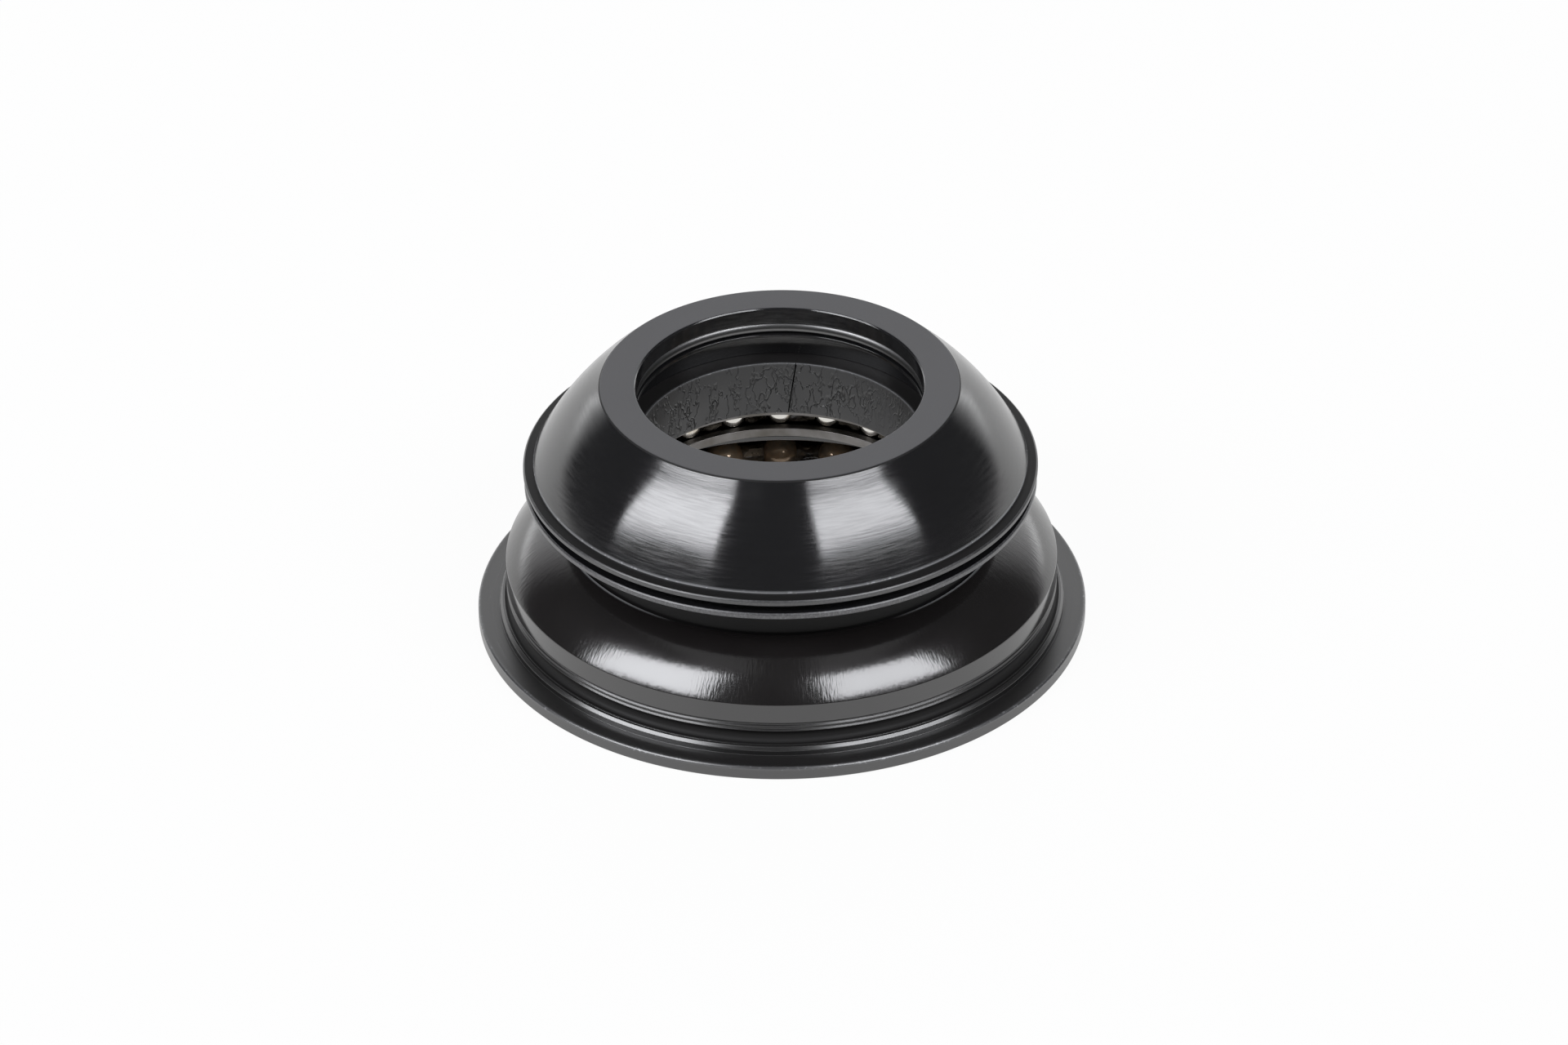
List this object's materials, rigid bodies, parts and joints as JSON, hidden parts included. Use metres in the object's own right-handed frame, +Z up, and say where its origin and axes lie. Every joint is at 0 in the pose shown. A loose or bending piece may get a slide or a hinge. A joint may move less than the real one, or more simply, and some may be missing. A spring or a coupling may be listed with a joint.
{
  "type": "bicycle headset",
  "caption": "Tapered semi-integrated bicycle headset: a conical cover and upper cup stacked in a wider flanged lower cup, with caged ball bearings that let the fork turn.",
  "frame": {"origin": "on the steering axis, at the face that the lower flange rests on", "axes": "+Z up along the steering axis; the compression ring's split is near +Y, and the view's front is -Y"},
  "size_m": [0.062, 0.062, 0.0271],
  "materials": {
    "black_anodised": "satin black anodised, finely turned",
    "black_gloss": "glossy black anodised, slightly rippled",
    "black_greased": "black with a smear of grease",
    "race_steel": "ground bearing steel",
    "retainer_steel": "pressed steel under grease",
    "ball_steel": "polished bearing steel",
    "ball_greased": "polished bearing steel under brown grease",
    "black_rubber": "satin black rubber"
  },
  "bodies": {
    "cups": {"lower_cup": "black_gloss", "lower_race": "race_steel", "upper_cup": "black_anodised", "upper_race": "race_steel"},
    "upper_turning": {"top_cover": "black_anodised", "cover_o_ring": "black_rubber", "cover_lip_seal": "black_rubber", "compression_ring": "black_greased", "upper_cone": "race_steel"},
    "upper_ball_set": {"upper_ball_retainer": "retainer_steel", "upper_ball_01": "ball_steel", "upper_ball_02": "ball_steel", "upper_ball_03": "ball_steel", "upper_ball_04": "ball_steel", "upper_ball_05": "ball_steel", "upper_ball_06": "ball_steel", "upper_ball_07": "ball_steel", "upper_ball_08": "ball_steel", "upper_ball_09": "ball_steel", "upper_ball_10": "ball_steel", "upper_ball_11": "ball_steel", "upper_ball_12": "ball_steel", "upper_ball_13": "ball_steel", "upper_ball_14": "ball_steel", "upper_ball_15": "ball_steel", "upper_ball_16": "ball_steel", "upper_ball_17": "ball_steel", "upper_ball_18": "ball_steel", "upper_ball_19": "ball_steel", "upper_ball_20": "ball_steel", "upper_ball_21": "ball_steel", "upper_ball_22": "ball_steel"},
    "crown_turning": {"crown_race": "race_steel", "crown_race_seal": "black_rubber"},
    "lower_ball_set": {"lower_ball_retainer": "retainer_steel", "lower_ball_01": "ball_greased", "lower_ball_02": "ball_greased", "lower_ball_03": "ball_greased", "lower_ball_04": "ball_greased", "lower_ball_05": "ball_greased", "lower_ball_06": "ball_greased", "lower_ball_07": "ball_greased", "lower_ball_08": "ball_greased", "lower_ball_09": "ball_greased", "lower_ball_10": "ball_greased", "lower_ball_11": "ball_greased", "lower_ball_12": "ball_greased", "lower_ball_13": "ball_greased", "lower_ball_14": "ball_greased", "lower_ball_15": "ball_greased", "lower_ball_16": "ball_greased", "lower_ball_17": "ball_greased", "lower_ball_18": "ball_greased", "lower_ball_19": "ball_greased", "lower_ball_20": "ball_greased", "lower_ball_21": "ball_greased", "lower_ball_22": "ball_greased", "lower_ball_23": "ball_greased", "lower_ball_24": "ball_greased", "lower_ball_25": "ball_greased"}
  },
  "joints": [
    {"name": "cover_turn", "type": "hinge", "parent": "cups", "child": "upper_turning", "pos_m": [0, 0, 0.01302], "axis": [0, 0, 1], "continuous": true},
    {"name": "upper_balls_roll", "type": "hinge", "parent": "cups", "child": "upper_ball_set", "pos_m": [0, 0, 0.01302], "axis": [0, 0, 1], "continuous": true},
    {"name": "crown_race_turn", "type": "hinge", "parent": "cups", "child": "crown_turning", "pos_m": [0, 0, 0.004], "axis": [0, 0, 1], "continuous": true},
    {"name": "lower_balls_roll", "type": "hinge", "parent": "cups", "child": "lower_ball_set", "pos_m": [0, 0, 0.004], "axis": [0, 0, 1], "continuous": true}
  ],
  "couplings": [
    {"joint": "upper_balls_roll", "follows": "cover_turn", "ratio": 0.4617},
    {"joint": "lower_balls_roll", "follows": "crown_race_turn", "ratio": 0.4699}
  ]
}
